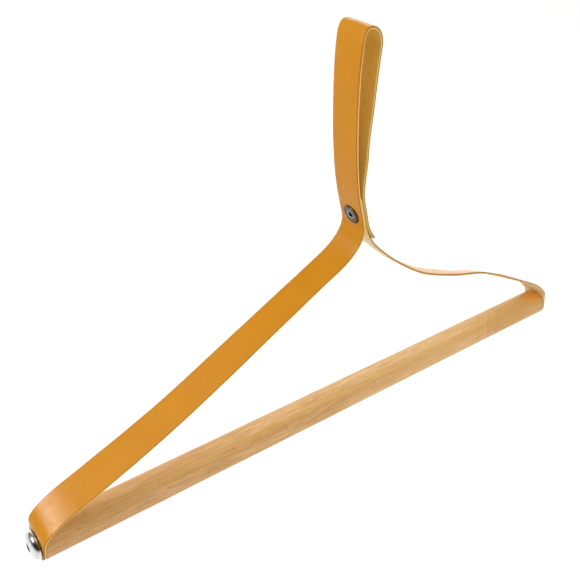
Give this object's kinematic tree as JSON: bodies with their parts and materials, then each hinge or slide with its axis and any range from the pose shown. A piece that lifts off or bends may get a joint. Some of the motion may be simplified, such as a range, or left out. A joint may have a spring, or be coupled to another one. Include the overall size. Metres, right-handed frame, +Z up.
{
  "type": "strap clothes hanger",
  "caption": "Clothes hanger with a round wooden rod carried by two flat leather straps that join at a bolted neck and form a hanging loop.",
  "frame": {"origin": "inside top of the hanging loop, where the rail or hook carries the hanger, in the middle of the strap's width", "axes": "+X along the rod, towards the short strap's end; +Y across the straps, away from the side that the picture was taken from; +Z up, with the rod level"},
  "size_m": [0.4642, 0.026, 0.2835],
  "materials": {
    "beech": "smooth sanded beech with a thin clear oil",
    "leather": "smooth ochre grain side, suede back, raw cut edges",
    "gunmetal": "dark oxidised steel, turned face",
    "polished_steel": "polished nickel-plated steel",
    "brass": "plain turned brass, hidden inside the rod"
  },
  "bodies": {
    "straps": {"long_strap": "leather", "short_strap": "leather", "neck_bolt": "gunmetal", "neck_nut": "gunmetal"},
    "rod_unit": {"rod": "beech", "insert_left": "brass", "insert_right": "brass", "end_screw_left": "polished_steel", "end_screw_right": "polished_steel"}
  },
  "joints": [
    {"name": "rod_swivel", "type": "hinge", "parent": "straps", "child": "rod_unit", "pos_m": [0.0301, 0, -0.2709], "axis": [1, 0, 0], "continuous": true}
  ]
}
